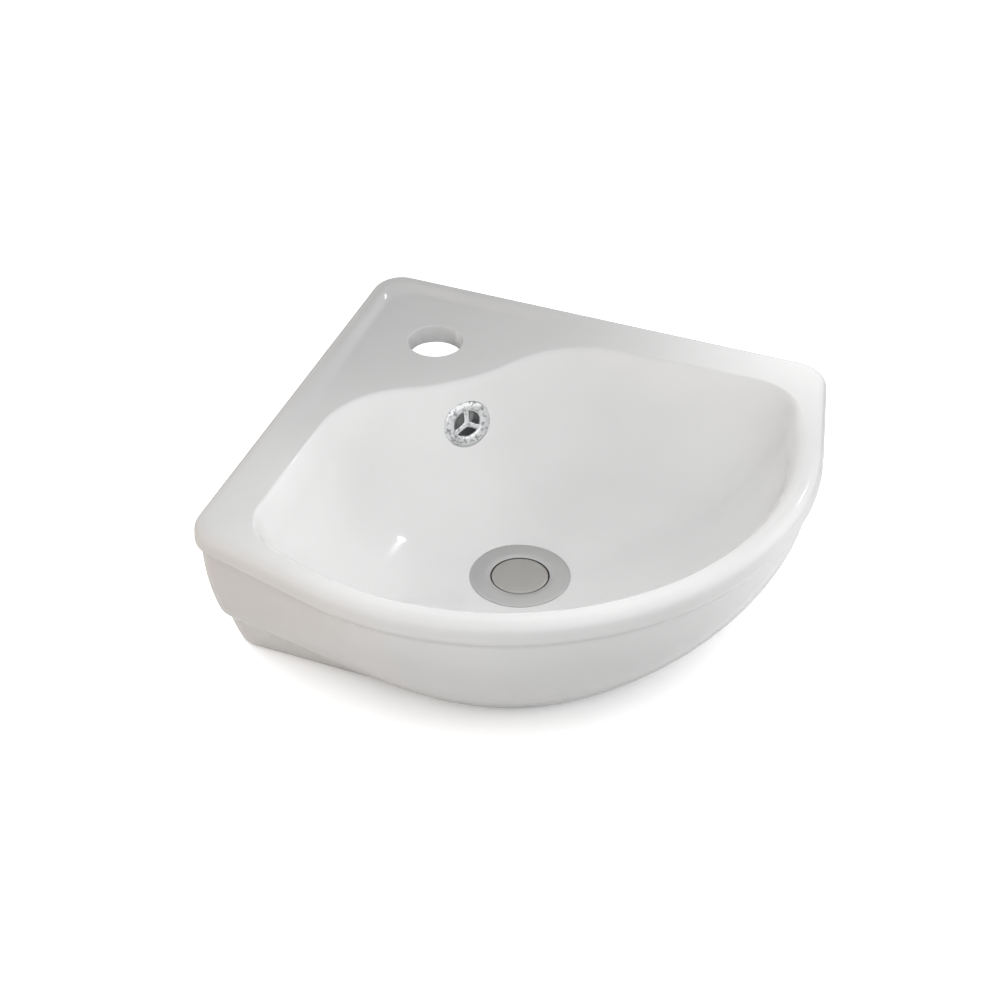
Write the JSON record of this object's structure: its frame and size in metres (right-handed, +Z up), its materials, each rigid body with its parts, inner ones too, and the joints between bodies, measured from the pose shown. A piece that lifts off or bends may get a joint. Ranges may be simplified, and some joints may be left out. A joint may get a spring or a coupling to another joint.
{
  "type": "corner washbasin",
  "caption": "Quarter-round wall-hung corner washbasin in glazed ceramic with a rolled rim band, a sunken tap deck, a spoked overflow ring and a push plug waste.",
  "frame": {"origin": "the vertical line where the two walls meet, at the height of the top of the rim", "axes": "+Z up, the left wall is the plane X = 0 and the right wall is the plane Y = 0, and the basin lies towards +X and -Y with its round front on the diagonal between them"},
  "size_m": [0.3368, 0.3368, 0.178],
  "materials": {
    "ceramic": "white gloss glaze",
    "chrome_trim": "polished",
    "waste_metal": "fine brushed",
    "plug_metal": "fine brushed",
    "rubber": "matt",
    "white_plastic": "matt",
    "brass": "satin",
    "spring_steel": "drawn"
  },
  "bodies": {
    "basin": {"basin_body": "ceramic", "overflow_ring": "chrome_trim", "overflow_grommet": "rubber", "waste_body": "waste_metal", "flange_seal": "rubber", "under_seal": "rubber", "slip_washer": "white_plastic", "back_nut": "brass", "fixed_post": "waste_metal", "post_clip": "spring_steel", "lock_nut": "brass", "click_spring": "spring_steel"},
    "plug": {"plug_cap": "plug_metal", "plug_seal": "rubber", "plug_sleeve": "white_plastic"},
    "cam": {"cam_ring": "brass"}
  },
  "joints": [
    {"name": "plug_lift", "type": "slide", "parent": "basin", "child": "plug", "axis": [0, 0, 1], "range_m": [0, 0.009], "deforming": ["click_spring"]},
    {"name": "cam_turn", "type": "hinge", "parent": "basin", "child": "cam", "pos_m": [0.157, -0.157, -0.132], "axis": [0, 0, 1], "range_deg": [0, 45]}
  ],
  "couplings": [
    {"joint": "cam_turn", "follows": "plug_lift", "rad_per_m": 87.2}
  ]
}
